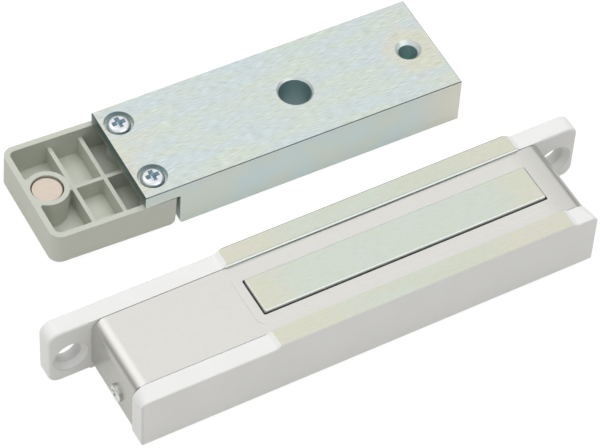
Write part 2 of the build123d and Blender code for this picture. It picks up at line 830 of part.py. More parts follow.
with BuildPart() as sensor_magnet:
    with BuildSketch(rim_plane.offset(-magnet_recess)):
        with Locations((boss_x, holder_middle)):
            Circle(magnet_radius)
    extrude(amount=-magnet_thickness)
    chamfer(sensor_magnet.edges().filter_by(GeomType.CIRCLE), bar_edge)
finish(sensor_magnet.part, "sensor_magnet")

for name, side in (("near", -1), ("far", 1)):
    screw_y = (bar_width + side * holder_screw_spacing) / 2
    seat = armature_plane(Plane((holder_screw_x, screw_y, bar_height - counterbore_depth)))
    holder_screw = pan_screw(
        seat,
        holder_screw_head_radius,
        holder_screw_head_height,
        holder_screw_radius,
        holder_screw_length,
    )
    finish(holder_screw, f"holder_screw_{name}")
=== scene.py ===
# %% [markdown]
# # Finishing an electromagnetic door lock in Blender
# The lock has two halves that lie side by side: the magnet unit, a white casting with bright pole
# faces, and its armature, a ground steel bar with a small plastic tray screwed under one end.
# Their solids come ready made, so this lesson is about surfaces: what each one is made of, how it
# was worked, and which few nodes tell that story. All lengths are metres unless a name says mm.

import math

import bmesh
import bpy
from mathutils import Euler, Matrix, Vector


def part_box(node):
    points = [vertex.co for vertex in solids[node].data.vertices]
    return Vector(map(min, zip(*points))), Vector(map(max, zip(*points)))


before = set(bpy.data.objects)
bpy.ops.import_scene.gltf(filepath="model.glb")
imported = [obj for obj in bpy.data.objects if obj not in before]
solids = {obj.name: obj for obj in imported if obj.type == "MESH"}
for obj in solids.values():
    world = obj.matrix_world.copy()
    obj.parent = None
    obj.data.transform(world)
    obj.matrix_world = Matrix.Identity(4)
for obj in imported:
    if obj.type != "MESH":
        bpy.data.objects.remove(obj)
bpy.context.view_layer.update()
MM = 0.001

# %% [markdown]
# ## Places that the patterns need
# The bar was laid down slightly askew, so its brushing has to be turned with it. The faces of the
# casting that were milled bare stand a little above the painted ones, and a height tells them apart.
# Other patterns begin at an end of a piece or round a bore, so those places are written down too.

# %% Places on the solids
armature_turn = math.radians(-1.1)
_, housing_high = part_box("housing")
pole_low, pole_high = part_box("center_pole")
bar_low, bar_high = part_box("armature_bar")
cover_low, cover_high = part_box("cover")
pole_top_mm = housing_high.z / MM
housing_back_mm = housing_high.y / MM
pole_right_mm = pole_high.x / MM
pole_middle_mm = (pole_low.x + pole_high.x) / 2 / MM
pole_half_mm = (pole_high.x - pole_low.x) / 2 / MM
bar_left_mm = bar_low.x / MM
bar_right_mm = bar_high.x / MM
bar_top_mm = bar_high.z / MM
cover_front_mm = cover_low.y / MM
cover_right_mm = cover_high.x / MM
wall_inside_mm = 14.35
center_bore_mm = (22.87, 72.54)
side_bore_mm = (65.17, 71.73)
print("pole faces at", round(pole_top_mm, 2), "mm, bar top at", round(bar_top_mm, 2), "mm")

# %% [markdown]
# ## A wire that can do sums
# A shader is a small program, and it is easiest to read as one. The class below wraps a node's
# socket, and every operator adds the Math node that it stands for. The reflected forms are there so
# that `1 - mask` works as well as `mask - 1`. A comparison gives a mask: 1 where it holds, 0 elsewhere.

# %% Socket arithmetic
class Wire:
    """A node's output socket, with operators that add Math nodes behind it."""

    def __init__(self, graph, socket):
        self.graph = graph
        self.socket = socket

    def calculate(self, operation, *others):
        values = {index: value for index, value in enumerate((self, *others))}
        return self.graph.node("Math", {"operation": operation}, values)

    def __add__(self, other):
        return self.calculate("ADD", other)

    def __sub__(self, other):
        return self.calculate("SUBTRACT", other)

    def __mul__(self, other):
        return self.calculate("MULTIPLY", other)

    def __gt__(self, other):
        return self.calculate("GREATER_THAN", other)

    def __lt__(self, other):
        return self.calculate("LESS_THAN", other)

    def __rsub__(self, other):
        return self.graph.node("Math", {"operation": "SUBTRACT"}, {0: other, 1: self})

    __radd__ = __add__
    __rmul__ = __mul__

    def size(self):
        """The value without its sign."""
        return self.calculate("ABSOLUTE")

    def centred(self):
        """Noise about 0, where it was about a half, so that it can lighten as well as darken."""
        return self - 0.5


# %% [markdown]
# ## One way to add any node
# Materials and the world are both node graphs, so they share the method below. It takes the kind of
# node, its settings, which have to be in place before its sockets are looked up, and then what each
# socket is given: a plain value, or a wire.

# %% Node graph
class Graph:
    """A node graph, with short names for the nodes that come up again and again."""

    def __init__(self, tree):
        self.tree = tree

    def give(self, socket, value):
        """Set a socket to a plain value, or link a wire to it."""
        if isinstance(value, Wire):
            self.tree.links.new(value.socket, socket)
        elif socket.type == "RGBA":
            socket.default_value = (*value, 1.0)
        else:
            socket.default_value = value

    def node(self, kind, settings=None, sockets=None, output=0):
        """Add one node, its settings first and then what its sockets are given."""
        node = self.tree.nodes.new("ShaderNode" + kind)
        for name, value in (settings or {}).items():
            setattr(node, name, value)
        for name, value in (sockets or {}).items():
            self.give(node.inputs[name], value)
        return Wire(self, node.outputs[output])

    def parts(self, vector):
        """The three numbers in a vector."""
        axes = self.node("SeparateXYZ", {}, {0: vector}).socket.node
        return [Wire(self, output) for output in axes.outputs]

    def rays(self):
        """Which kind of ray is looking: 1 or 0 for the camera, for mirrors and for glass."""
        path = self.node("LightPath").socket.node.outputs
        names = ("Is Camera Ray", "Is Glossy Ray", "Is Transmission Ray")
        return [Wire(self, path[name]) for name in names]

    def step(self, value, low, high):
        """A soft step: 0 below low, 1 above high."""
        return self.node(
            "MapRange",
            {"interpolation_type": "SMOOTHSTEP"},
            {"Value": value, "From Min": low, "From Max": high},
        )

    def mix(self, share, first, second):
        """The first colour where share is 0, the second where it is 1."""
        return self.node(
            "Mix", {"data_type": "RGBA"}, {0: share, 6: first, 7: second}, output=2
        )

    def shade(self, colour, amount):
        """A colour times a number, for streaks and stains that only darken or lighten."""
        return self.node(
            "VectorMath", {"operation": "SCALE"}, {0: colour, "Scale": amount}
        )


# %% [markdown]
# ## A finish is a material under construction
# Each surface gets its own material, and each needs the same few things: the point being shaded in
# millimetres, some noise stretched the way the tool went, a mask round a hole and a bump.

# %% Material builder
class Finish(Graph):
    """A node material: patterns are worked out in millimetres of the object's own space."""

    def __init__(self, name, roughness=0.5, metallic=0.0):
        self.material = bpy.data.materials.new(name)
        self.material.use_nodes = True
        super().__init__(self.material.node_tree)
        self.shader = self.tree.nodes["Principled BSDF"]
        self.shader.inputs["Roughness"].default_value = roughness
        self.shader.inputs["Metallic"].default_value = metallic
        coordinates = self.node("TexCoord", output="Object")
        self.point = self.node(
            "VectorMath", {"operation": "SCALE"}, {0: coordinates, "Scale": 1 / MM}
        )
        self.x, self.y, self.z = self.parts(self.point)

    def set(self, **values):
        """Give the shader's sockets their values: Base_Color stands for Base Color."""
        for name, value in values.items():
            self.give(self.shader.inputs[name.replace("_", " ")], value)

    def turned(self, angle):
        """The point, turned about Z so that X runs along a piece that lies askew."""
        return self.node("Mapping", {}, {0: self.point, "Rotation": (0, 0, -angle)})

    def noise(self, per_mm, stretch=(1, 1, 1), place=None, detail=2.0, shift=0.0):
        """Noise from 0 to 1 about 0.5, with so many waves to the millimetre along each axis."""
        spot = self.node(
            "VectorMath",
            {"operation": "MULTIPLY_ADD"},
            {0: place or self.point, 1: stretch, 2: (shift, shift, shift)},
        )
        return self.node("TexNoise", {}, {"Vector": spot, "Scale": per_mm, "Detail": detail})

    def near(self, center, inside, outside):
        """1 within a distance of an upright axis, falling to 0 further out."""
        across = self.x - center[0]
        along = self.y - center[1]
        distance = (across * across + along * along).calculate("SQRT")
        return 1 - self.step(distance, inside, outside)

    def bump(self, height, depth_mm):
        """Roughen the surface by a height from 0 to 1, worth so many millimetres."""
        normal = self.node("Bump", {}, {"Height": height, "Distance": depth_mm * MM})
        self.give(self.shader.inputs["Normal"], normal)

    def normal(self):
        """The three parts of the surface's own direction."""
        return self.parts(self.node("NewGeometry", output="Normal"))


# %% [markdown]
# ## The studio
# A product picture like this one has a white ground, no hard shadow and a soft top light. The ground
# is a real floor: it shows white to the camera and to reflections, with part of its own shading left
# in so that the lock still stands on it.

# %% Floor
floor_half = 3.0
floor_drop = 0.05 * MM
floor_colour = (0.80, 0.79, 0.76)
floor_glow = 1.09
camera_share = 0.87
reflection_share = 0.3


def white_ground():
    """A floor that the camera and reflections see as white, over a plain grey one."""
    ground = Finish("studio_floor", roughness=0.9)
    ground.set(Base_Color=floor_colour)
    camera_ray, glossy_ray, glass_ray = ground.rays()
    share = (camera_ray + glass_ray) * camera_share + glossy_ray * reflection_share
    glow = ground.node("Emission", {}, {"Strength": floor_glow})
    seen = ground.node(
        "MixShader", {}, {0: share, 1: Wire(ground, ground.shader.outputs[0]), 2: glow}
    )
    surface = ground.tree.nodes["Material Output"].inputs["Surface"]
    ground.give(surface, seen)
    return ground.material


def mesh_object(name, shape):
    """Turn a finished bmesh into an object in the scene."""
    mesh = bpy.data.meshes.new(name)
    shape.to_mesh(mesh)
    shape.free()
    made = bpy.data.objects.new(name, mesh)
    bpy.context.scene.collection.objects.link(made)
    return made


floor_shape = bmesh.new()
bmesh.ops.create_grid(floor_shape, x_segments=1, y_segments=1, size=floor_half)
bmesh.ops.translate(floor_shape, vec=(0, 0, -floor_drop), verts=floor_shape.verts)
floor = mesh_object("studio_floor", floor_shape)
floor.data.materials.append(white_ground())
print("floor:", floor_half * 2, "m wide")

# %% [markdown]
# ## A light tent for the metal
# Metal shows only what it mirrors. The world is lit evenly for the paint and the plastic, but a
# mirror ray that reaches it sees a tent: white above, a dim band low down that draws the grey line
# along every bend, a bright patch overhead and another behind the camera that catch the edges. The
# camera itself sees plain white.

# %% World
world_light = 0.44
tent_top = 1.0
tent_dim = 0.30
dim_below, dim_above = 0.25, 0.60
overhead_way = Vector((-0.28, 0.42, 0.86)).normalized()
overhead_edge, overhead_heart = 0.88, 0.985
overhead_extra = 0.38
front_way = Vector((0.35, -0.80, 0.48)).normalized()
front_edge, front_heart = 0.80, 0.97
front_extra = 0.7
world = bpy.data.worlds.new("studio_world")
world.use_nodes = True
bpy.context.scene.world = world
sky = Graph(world.node_tree)
camera_ray, glossy_ray, glass_ray = sky.rays()
sky_x, sky_y, sky_z = sky.parts(sky.node("TexCoord", output="Generated"))


def patch(way, edge, heart):
    """1 in the middle of a round patch of sky, 0 outside it."""
    return sky.step(sky_x * way.x + sky_y * way.y + sky_z * way.z, edge, heart)


tent = tent_dim + sky.step(sky_z, dim_below, dim_above) * (tent_top - tent_dim)
tent = tent + patch(overhead_way, overhead_edge, overhead_heart) * overhead_extra
tent = tent + patch(front_way, front_edge, front_heart) * front_extra
mirrored = glossy_ray.calculate("MAXIMUM", glass_ray)
strength = world_light + camera_ray * (1 - world_light) + mirrored * (tent - world_light)
background = world.node_tree.nodes["Background"]
sky.give(background.inputs["Color"], (1, 1, 1))
sky.give(background.inputs["Strength"], strength)
print("world: light", world_light, "and a tent from", tent_dim, "to", tent_top)

# %% [markdown]
# ## Two wide lamps
# The shadows in a picture like this are almost gone, so the main lamp is as wide as it hangs high. It
# reaches into the tray and makes every top brighter than the sides. A weaker one stands at the left
# and lifts the short ends. Mirrors see neither: the tent above already says what they see.

# %% Lamps
def soft_lamp(name, place, side, watts):
    """A square lamp that points at the lock and can't be seen itself."""
    data = bpy.data.lights.new(name, "AREA")
    data.shape = "SQUARE"
    data.size = side
    data.energy = watts
    lamp = bpy.data.objects.new(name, data)
    lamp.location = place
    lamp.rotation_euler = Vector(place).to_track_quat("Z", "Y").to_euler()
    lamp.visible_camera = False
    lamp.visible_glossy = False
    bpy.context.scene.collection.objects.link(lamp)
    print(name, side, "m wide,", watts, "W")


soft_lamp("overhead_lamp", place=(0.1, 0.2, 1.5), side=1.6, watts=15.6)
soft_lamp("left_lamp", place=(-1.5, 0.1, 0.5), side=0.9, watts=2.2)

# %% [markdown]
# ## The camera
# The place, turn and lens were worked out from the long straight edges of both halves, so the solids
# line up with the picture. It is a long lens from about a metre away, looking down at 51 degrees.

# %% Camera
camera_place = Vector((-0.34601274, -0.53053375, 0.81537094))
camera_angles = (39.181696, -2.424246, -28.846430)
camera_turn = Euler([math.radians(angle) for angle in camera_angles], "XYZ")
camera_lens = 195.532
camera_sensor = 36.0
camera_data = bpy.data.cameras.new("camera")
camera_data.lens = camera_lens
camera_data.sensor_width = camera_sensor
camera_data.clip_start = 0.05
camera_data.clip_end = 50.0
camera = bpy.data.objects.new("camera", camera_data)
camera.location = camera_place
camera.rotation_euler = camera_turn
bpy.context.scene.collection.objects.link(camera)
bpy.context.scene.camera = camera
bpy.context.scene.view_settings.view_transform = "Standard"
print("camera:", round(camera_place.length, 3), "m away, lens", camera_lens, "mm")

# %% [markdown]
# ## Zinc that has been passivated
# The pole faces and the bar are plated with zinc and dipped in a clear passivation, which leaves a
# film thin enough to show colours: mostly pale green and blue, and straw or peach where the bath
# drained off, near ends and holes. Broad noise drifts between the cool tints, and a mask says where
# the warm ones go. Each pair of numbers named a turn is where a soft step begins and ends.

# %% Zinc colours
zinc_green = (0.655, 0.705, 0.625)
zinc_lime = (0.665, 0.69, 0.58)
zinc_cyan = (0.65, 0.715, 0.64)
zinc_blue = (0.62, 0.70, 0.715)
zinc_straw = (0.70, 0.70, 0.57)
zinc_peach = (0.715, 0.69, 0.60)
drift_stretch = (0.8, 3.0, 0)
film_stretch = (1, 2.0, 0)
cool_turn = (0.38, 0.62)
glow_turn = (0.46, 0.62)
film_turn = (0.35, 0.95)
film_fray = 0.9
film_share = 0.85


def zinc_colour(finish, place, warm, first, second, wander=0.045, grain=None, shift=0.0):
    """Drift between two cool tints, and turn to straw and peach where warm is 1."""
    drift = finish.noise(wander, drift_stretch, place, detail=3.0, shift=shift)
    if grain is not None:
        drift = drift + grain
    cool = finish.mix(finish.step(drift, *cool_turn), first, second)
    sort = finish.noise(wander * 2, film_stretch, place, detail=2.0, shift=shift + 7.0)
    glow = finish.mix(finish.step(sort, *glow_turn), zinc_straw, zinc_peach)
    edge = finish.noise(wander * 2.5, film_stretch, place, detail=3.0, shift=shift + 3.0)
    share = finish.step(warm + edge.centred() * film_fray, *film_turn)
    return finish.mix(share * film_share, cool, glow)


# %% [markdown]
# ## Grinding marks
# They run along the length: noise squeezed across and drawn out along. A soft step makes them crisper
# than noise is, and a little broad noise keeps them from looking combed. The pole faces all carry the
# same marks, only faintly, and the bar gets finer ones of its own.

# %% Grinding marks
streak_turn = (0.36, 0.64)
crisp_share = 0.8
pole_marks = (0.35, 1.6)
pole_marks_shade = 0.05
plated_metallic = 0.85


def streaks(finish, place, along, across, shift=0.0):
    """Grinding marks about 0: fast across the length, slow along it, and crisper than plain noise."""
    fine = finish.noise(1.0, (along, across, 0), place, detail=2.0, shift=shift)
    crisp = finish.step(fine, *streak_turn).centred()
    broad = finish.noise(1.0, (along / 3, across / 4, 0), place, detail=2.0, shift=shift + 5.0)
    return crisp * crisp_share + broad.centred() * (1 - crisp_share)


# %% [markdown]
# ## The casting's coat
# It is powder coated white all over. The coat has faint clouds. A grey line of painted shade runs round
# each screw hole and its countersink, and one down the corner where the near wall ends at the left.
# The first is a distance from the hole's axis, and the second is where the surface faces two ways at
# once.

# %% White coat
coat_white = (0.89, 0.89, 0.885)
coat_shadow = (0.875, 0.875, 0.862)
coat_clouds_per_mm = 0.08
cloud_turn = (0.35, 0.65)
hole_x_mm = 87.5
hole_z_mm = 9.9
hole_rings_mm = (4.25, 6.1)
line_mm = 0.16
line_shade = 0.84
wall_end_mm = -79.0
corner_lean = 0.3


def hole_shade_lines(paint):
    """1 on the painted shade lines round the screw holes."""
    across = paint.x.size() - hole_x_mm
    up = paint.z - hole_z_mm
    distance = (across * across + up * up).calculate("SQRT")
    lines = [(distance - radius).size() < line_mm for radius in hole_rings_mm]
    return lines[0] + lines[1]


def coat_colour(paint):
    """White with faint clouds, and grey lines of painted shade round the screw holes and the near wall's
    left corner.
    """
    cloud = paint.noise(coat_clouds_per_mm, detail=3.0)
    coat = paint.mix(paint.step(cloud, *cloud_turn), coat_shadow, coat_white)
    facing, sideways, _ = paint.normal()
    corner = (paint.x < wall_end_mm) * (paint.y < 0) * ((facing * sideways) > corner_lean)
    # painted shade: grey lines round the holes and down the near wall's left corner
    coat_shade_lines = hole_shade_lines(paint).calculate("MAXIMUM", corner)
    return paint.shade(coat, 1 - coat_shade_lines * (1 - line_shade))


# %% [markdown]
# ## The casting's milled lands
# After coating, the two raised walls are milled bare: they are the outer poles of the magnet. The
# cutter leaves a level land on each, and on its inside a rolled edge that stands above the cover, with
# fine marks across it. That edge gets a painted highlight, with a painted shade line above and below
# it. The far land ends at the back in a painted shade line too. The tint turns warm towards the ends
# of the lands.

# %% Milled lands
warm_from, warm_to = 0.2, 0.9
near_land_warm = 0.15
back_line_mm = 0.18
strip_highlight = (0.80, 0.85, 0.81)
shade_line_colour = (0.20, 0.25, 0.245)
strip_foot_mm = 22.8
strip_head_line_mm = 0.16
strip_foot_line_mm = 0.45
marks_per_mm = 1.3
marks_slope = 1.6
marks_dark = 0.22


def land_colour(paint, reach, level, grain):
    """Zinc over a milled land, with a painted shade line at the far land's back edge."""
    warm = paint.step(reach, pole_half_mm * warm_from, pole_half_mm * warm_to)
    warm = warm + (paint.y < 0) * near_land_warm
    zinc = zinc_colour(paint, paint.point, warm, zinc_green, zinc_lime)
    # painted shade: a dark line along the far land's back edge
    back_shade_line = (paint.y > housing_back_mm - back_line_mm) * level
    return paint.mix(back_shade_line, paint.shade(zinc, 1 + grain * pole_marks_shade), shade_line_colour)


def strip_colour(paint):
    """The rolled inner edge: a painted highlight between two painted shade lines, with slanting marks
    across it.
    """
    # painted shade lines at the strip's head and foot; the strip's own colour is a painted highlight
    lines = (paint.z > pole_top_mm - strip_head_line_mm) + (paint.z < strip_foot_mm + strip_foot_line_mm)
    marks = ((paint.x + paint.z * marks_slope) * marks_per_mm).calculate("FRACT") > 0.5
    return paint.shade(paint.mix(lines, strip_highlight, shade_line_colour), 1 - marks * marks_dark)


# %% [markdown]
# ## The casting as a whole
# Paint and bare metal meet at a height, so the mask is a plain comparison of Z. The coat has the faint
# orange peel of powder that flowed out in an oven. Left as it is, the far wall's inner edge would
# mirror the dark gap next to it. So the bump gets a slope there, a height that falls as Z rises: it
# leans the shading over, and the edge mirrors the bright patch behind the camera.

# %% White powder coat with milled lands
milled_depth_mm = 0.03
strip_margin_mm = 0.1
strip_past_mm = 2.6
coat_roughness = 0.46
land_smoother = 0.10
strip_smoother = 0.12
peel_per_mm = 0.9
marks_relief = 0.3
strip_lean = 0.9
coat_relief_mm = 0.010


def coated_casting():
    paint = Finish("white_powder_coat")
    level = paint.z > pole_top_mm - milled_depth_mm
    reach = (paint.x - pole_middle_mm).size()
    inner = (paint.y.size() < wall_inside_mm + strip_margin_mm) * (paint.z > strip_foot_mm)
    inner = inner * (reach < pole_half_mm + strip_past_mm) * (1 - level)
    grain = streaks(paint, paint.point, *pole_marks)
    wall = paint.mix(inner, coat_colour(paint), strip_colour(paint))
    paint.set(
        Base_Color=paint.mix(level, wall, land_colour(paint, reach, level, grain)),
        Metallic=level.calculate("MAXIMUM", inner) * plated_metallic,
        Roughness=coat_roughness - level * land_smoother - inner * strip_smoother,
    )
    peel = paint.noise(peel_per_mm, detail=2.0)
    lean = inner * paint.z * (strip_lean / coat_relief_mm)
    paint.bump(peel * (1 - level) + grain * level * marks_relief - lean, coat_relief_mm)
    return paint.material


# %% [markdown]
# ## The centre pole
# The same plating on a block of its own. Its broken edges are burnished smoother and carry a painted
# highlight, and below them the flanks go down into the coil's slot, where painted shade makes them
# darker the deeper they get. The left end gets a warmer grey of painted light and stays light further
# down.

# %% Plated centre pole
burnished_highlight = (0.86, 0.91, 0.88)
left_flank_light = (0.80, 0.78, 0.72)
left_facing = -0.5
level_up = 0.95
centre_warm_from, centre_warm_to = 0.4, 1.05
slot_dark_mm = 1.9
slot_light_mm = 1.1
left_flank_light_mm = 1.1
slot_shade = 0.12
pole_roughness = 0.36
edge_smoother = 0.1
edge_less_metallic = 0.5
pole_relief_mm = 0.003


def plated_pole():
    pole = Finish("zinc_plated_poles")
    reach = (pole.x - pole_middle_mm).size()
    warm = pole.step(reach, pole_half_mm * centre_warm_from, pole_half_mm * centre_warm_to)
    grain = streaks(pole, pole.point, *pole_marks, shift=4.0)
    zinc = zinc_colour(pole, pole.point, warm, zinc_cyan, zinc_green, shift=11.0)
    facing, _, up = pole.normal()
    left = facing < left_facing
    edge = (up < level_up) * (pole.z > pole_top_mm - slot_light_mm)
    # painted shade into the slot, starting lower on the left flank
    low = pole.z + left * left_flank_light_mm
    depth = pole.step(low, pole_top_mm - slot_dark_mm, pole_top_mm - slot_light_mm)
    # painted highlight on the edges and upper flanks; the lower roughness is the real burnish
    colour = pole.mix(edge, pole.shade(zinc, 1 + grain * pole_marks_shade), burnished_highlight)
    # painted light: a lighter, warmer grey on the left flank
    colour = pole.mix(left, colour, left_flank_light)
    pole.set(
        Base_Color=pole.shade(colour, slot_shade + depth * (1 - slot_shade)),
        Roughness=pole_roughness - edge * edge_smoother,
        Metallic=plated_metallic - edge * edge_less_metallic,
    )
    pole.bump(grain, pole_relief_mm)
    return pole.material


# %% [markdown]
# ## The armature bar's ground face
# The face that meets the poles is ground along its length, and it is the liveliest surface here: blue
# and green in the middle, straw and peach round the bores and at both ends.

# %% Ground face
right_warm_from_mm = bar_right_mm - 32
right_warm_full_mm = bar_right_mm - 2
left_warm_full_mm = bar_left_mm + 2
left_warm_to_mm = bar_left_mm + 30
center_warm_mm = (6.0, 17.0)
side_warm_mm = (5.0, 14.0)
right_warm, left_warm, bore_warm = 0.55, 0.7, 0.5
bar_wander = 0.05
bar_marks = (0.28, 4.4)
marks_in_tint = 0.22
face_shade = 1.03
face_marks_shade = 0.30


def ground_face(bar, place, grain):
    """Lively zinc, warm at the ends and round the bores, with bright and dark grinding marks."""
    right = bar.step(bar.x, right_warm_from_mm, right_warm_full_mm)
    left = 1 - bar.step(bar.x, left_warm_full_mm, left_warm_to_mm)
    by_center = bar.near(center_bore_mm, *center_warm_mm)
    by_side = bar.near(side_bore_mm, *side_warm_mm)
    warm = right * right_warm + left * left_warm + by_center * bore_warm + by_side * bore_warm
    tint = grain * marks_in_tint
    zinc = zinc_colour(bar, place, warm, zinc_cyan, zinc_blue, bar_wander, tint, shift=2.0)
    return bar.shade(zinc, face_shade + grain * face_marks_shade)


# %% [markdown]
# ## The armature bar's sides
# The sides were left as drawn and have a smooth grey-blue plate that turns to straw at the free end.
# Under the tongue's end face lies the tray: the face gets painted shade at the top, and lower down a
# lighter painted reflection of the plastic.

# %% Drawn sides
side_zinc = (0.625, 0.735, 0.745)
side_zinc_light = (0.67, 0.73, 0.675)
side_straw = (0.74, 0.74, 0.66)
tongue_end_shade = (0.15, 0.23, 0.225)
tongue_end_reflection = (0.36, 0.38, 0.34)
side_drift_per_mm = 0.05
side_turn = (0.35, 0.65)
straw_from_mm = bar_right_mm - 26
straw_full_mm = bar_right_mm - 1
tongue_end_mm = bar_left_mm + 6
tongue_facing = -0.7
tongue_light_mm = (1.6, 4.0)


def drawn_sides(bar, facing):
    """Smooth plate with a slow drift, straw at the right, and painted shade and a painted reflection on
    the end face over the tray.
    """
    drift = bar.noise(side_drift_per_mm, (1, 1, 1.5), detail=2.0)
    side = bar.mix(bar.step(drift, *side_turn), side_zinc, side_zinc_light)
    side = bar.mix(bar.step(bar.x, straw_from_mm, straw_full_mm), side, side_straw)
    # painted shade at the top of the tongue's end face, a painted reflection of the tray lower down
    over_tray = (facing < tongue_facing) * (bar.x < tongue_end_mm)
    light = bar.step(bar_top_mm - bar.z, *tongue_light_mm)
    return bar.mix(over_tray, side, bar.mix(light, tongue_end_shade, tongue_end_reflection))


# %% [markdown]
# ## The armature bar as a whole
# How far a surface faces up tells the ground face from the broken edge round it, and from the sides.
# The edge gets a fine dark line of painted shade, round the bores a bright rim of painted highlight, and
# the drilled walls inside get painted shade.

# %% Ground and plated bar
broken_edge_shade = (0.10, 0.12, 0.12)
rim_highlight = (0.75, 0.81, 0.79)
bore_shade = (0.37, 0.52, 0.53)
small_bore_shade = (0.52, 0.70, 0.71)
face_up = 0.9
edge_up_from, edge_up_to = 0.3, 0.95
wall_up = 0.2
center_wall_mm, side_wall_mm = (5.56, 5.6), (3.3, 3.34)
center_rim_mm, side_rim_mm = (6.4, 6.5), (4.7, 4.8)
side_metallic, face_more_metallic = 0.75, 0.10
side_roughness, face_smoother = 0.42, 0.04
bar_relief_mm = 0.005


def ground_bar():
    bar = Finish("zinc_plated_bar")
    place = bar.turned(armature_turn)
    facing, _, up = bar.normal()
    top = up > face_up
    grain = streaks(bar, place, *bar_marks, shift=9.0)
    edge = (up > edge_up_from) * (up < edge_up_to)
    small = bar.near(side_bore_mm, *side_wall_mm)
    # painted shade on the drilled walls of the bores
    hole = (bar.near(center_bore_mm, *center_wall_mm) + small) * (up < wall_up)
    rim = bar.near(center_bore_mm, *center_rim_mm) + bar.near(side_bore_mm, *side_rim_mm)
    # painted shade on the broken edge, painted highlight on the rims round the bores
    plain = bar.mix(edge, drawn_sides(bar, facing), bar.mix(rim, broken_edge_shade, rim_highlight))
    colour = bar.mix(top, plain, ground_face(bar, place, grain))
    bar.set(
        Base_Color=bar.mix(hole, colour, bar.mix(small, bore_shade, small_bore_shade)),
        Metallic=side_metallic + top * face_more_metallic,
        Roughness=side_roughness - top * face_smoother,
    )
    bar.bump(grain * top, bar_relief_mm)
    return bar.material


# %% [markdown]
# ## The cover sheet
# One piece of stainless steel, folded down at both ends and rubbed to a satin. Its grain is far finer
# than the bar's and shows mostly as a soft sheen. Over the folds the colour is darkened with painted
# shade, the more the further the surface leans over. Past the centre pole the flat is darkened with
# painted shade towards the right fold. The raised panel's long edges lean a little and get painted
# light, and a dark line of painted shade on the left end marks the gap beside the near wall.

# %% Satin cover
satin_light = (0.735, 0.73, 0.695)
satin_warm = (0.735, 0.722, 0.69)
fold_shade = (0.60, 0.60, 0.57)
panel_edge_light = (0.98, 0.97, 0.94)
satin_turn = (0.4, 0.6)
fold_turn = (0.35, 0.95)
panel_turn = (0.2, 0.6)
gap_mm = 0.35
gap_dark = 0.6
far_margin_mm = 4
far_shade = 0.15
grain_shade, mottle_shade = 0.06, 0.05
satin_relief_mm = 0.003


def satin_cover():
    sheet = Finish("satin_sheet", metallic=0.8, roughness=0.28)
    drift = sheet.noise(0.03, (1, 2, 0), detail=2.0)
    flat = sheet.mix(sheet.step(drift, *satin_turn), satin_light, satin_warm)
    facing, sideways, _ = sheet.normal()
    # painted shade over the folds, by how far the surface leans
    folded = sheet.step(facing.size(), *fold_turn)
    # painted light on the raised panel's leaning edges
    flat = sheet.mix(sheet.step(sideways.size(), *panel_turn), flat, panel_edge_light)
    # painted shade in the gap beside the near wall
    gap = (facing < left_facing) * (sheet.y < cover_front_mm + gap_mm)
    grain = sheet.noise(3.0, (0.5, 1.5, 1.5), detail=2.0)
    mottle = sheet.noise(0.5, detail=3.0)
    # painted shade towards the right fold
    far = sheet.step(sheet.x, pole_right_mm - far_margin_mm, cover_right_mm - far_margin_mm)
    # grain and mottle are the sheet's own tone; the fall towards the right fold is painted shade
    brightness = 1 + grain.centred() * grain_shade + mottle.centred() * mottle_shade - far * far_shade
    satin = sheet.mix(folded, flat, fold_shade)
    sheet.set(Base_Color=sheet.shade(satin, brightness * (1 - gap * gap_dark)))
    sheet.bump(grain, satin_relief_mm)
    return sheet.material


# %% [markdown]
# ## Screws
# The two small screws at the cover's ends are dull nickel, and those in the bar are bright zinc. Fine
# noise roughens them and broad noise clouds them. A cross recess is struck, not cut: its walls are
# steep, which tells them from the dome, and they get painted shade, with a painted highlight on those
# that face left.

# %% Screw finishes
glint_colour = (0.95, 1.0, 1.0)
glint_share = 0.8
glint_turn = (-0.75, -0.35)
dome_turn = (0.45, 0.72)
fine_shade, coarse_shade = 0.10, 0.14
screw_relief_mm = 0.006


def turned_screw(name, colour, roughness, recess_shade):
    screw = Finish(name, metallic=0.9, roughness=roughness)
    fine = screw.noise(4.0, detail=2.0)
    coarse = screw.noise(0.6, detail=2.0, shift=3.0)
    facing, _, up = screw.normal()
    steep = 1 - screw.step(up.size(), *dome_turn)
    # painted highlight on the recess walls that face left
    glint = (1 - screw.step(facing, *glint_turn)) * glint_share
    brightness = 1 + fine.centred() * fine_shade + coarse.centred() * coarse_shade
    # painted shade in the cross recess, with the painted highlight
    recess_shade_and_glint = screw.mix(glint, recess_shade, glint_colour)
    screw.set(Base_Color=screw.shade(screw.mix(steep, colour, recess_shade_and_glint), brightness))
    screw.bump(fine, screw_relief_mm)
    return screw.material


# %% [markdown]
# ## Moulded plastic and the little magnet
# The tray under the bar's tongue is a satin grey moulding with a fine spark-eroded texture. Several
# hidden mouldings share the same recipe with other colours, so it is one function. The disc in the
# tray's boss is nickel plated, slightly pink, with a scuffed face and a dark rim of painted shade.

# %% Mouldings
texture_share = 0.6


def moulded(name, colour, roughness=0.5, texture_mm=0.008, per_mm=1.6, drift=0.06):
    plastic = Finish(name, roughness=roughness)
    texture = plastic.noise(per_mm, detail=3.0)
    cloud = plastic.noise(0.12, detail=2.0, shift=5.0)
    tone = 1 + cloud.centred() * drift + texture.centred() * (drift * texture_share)
    plastic.set(Base_Color=plastic.shade(colour, tone))
    plastic.bump(texture, texture_mm)
    return plastic.material


